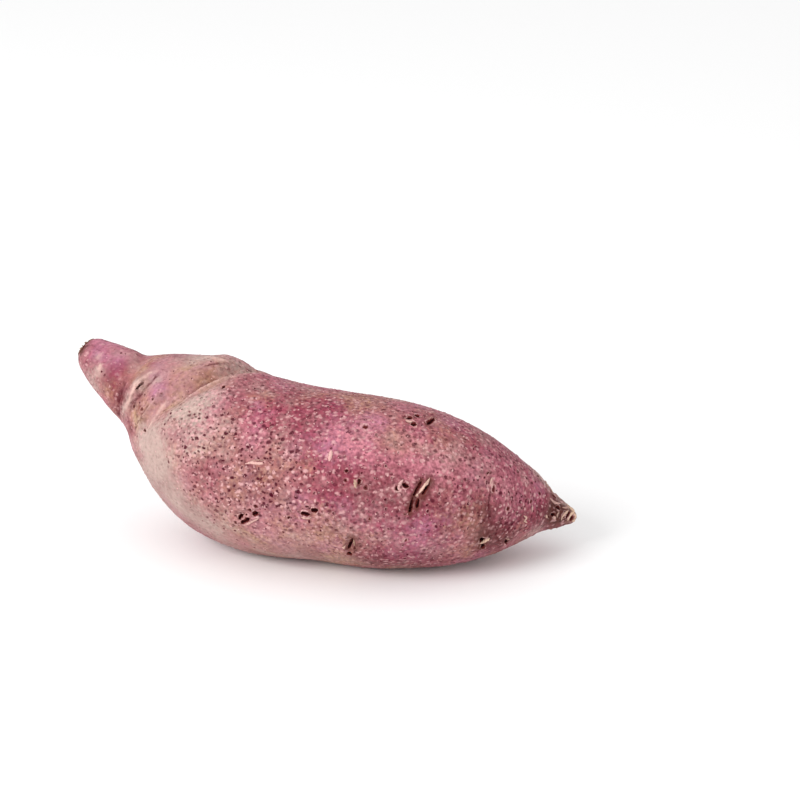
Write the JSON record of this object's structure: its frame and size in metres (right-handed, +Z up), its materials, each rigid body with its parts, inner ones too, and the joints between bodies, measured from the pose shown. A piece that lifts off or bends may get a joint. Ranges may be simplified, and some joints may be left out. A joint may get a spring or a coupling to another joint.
{
  "type": "sweet potato",
  "caption": "Whole purple-skinned sweet potato lying on its belly, with a bent, folded neck, side-root scars and a tapered root tip.",
  "frame": {"origin": "middle of the root's footprint, on the surface that it lies on", "axes": "+X from the broken neck to the root tip, +Y to the back, +Z up"},
  "size_m": [0.1782, 0.0806, 0.0668],
  "materials": {
    "skin": "dull mauve skin with tan patches, fine dark pits and a faint waxy sheen"
  },
  "bodies": {
    "root": {"sweet_potato": "skin"}
  },
  "joints": []
}
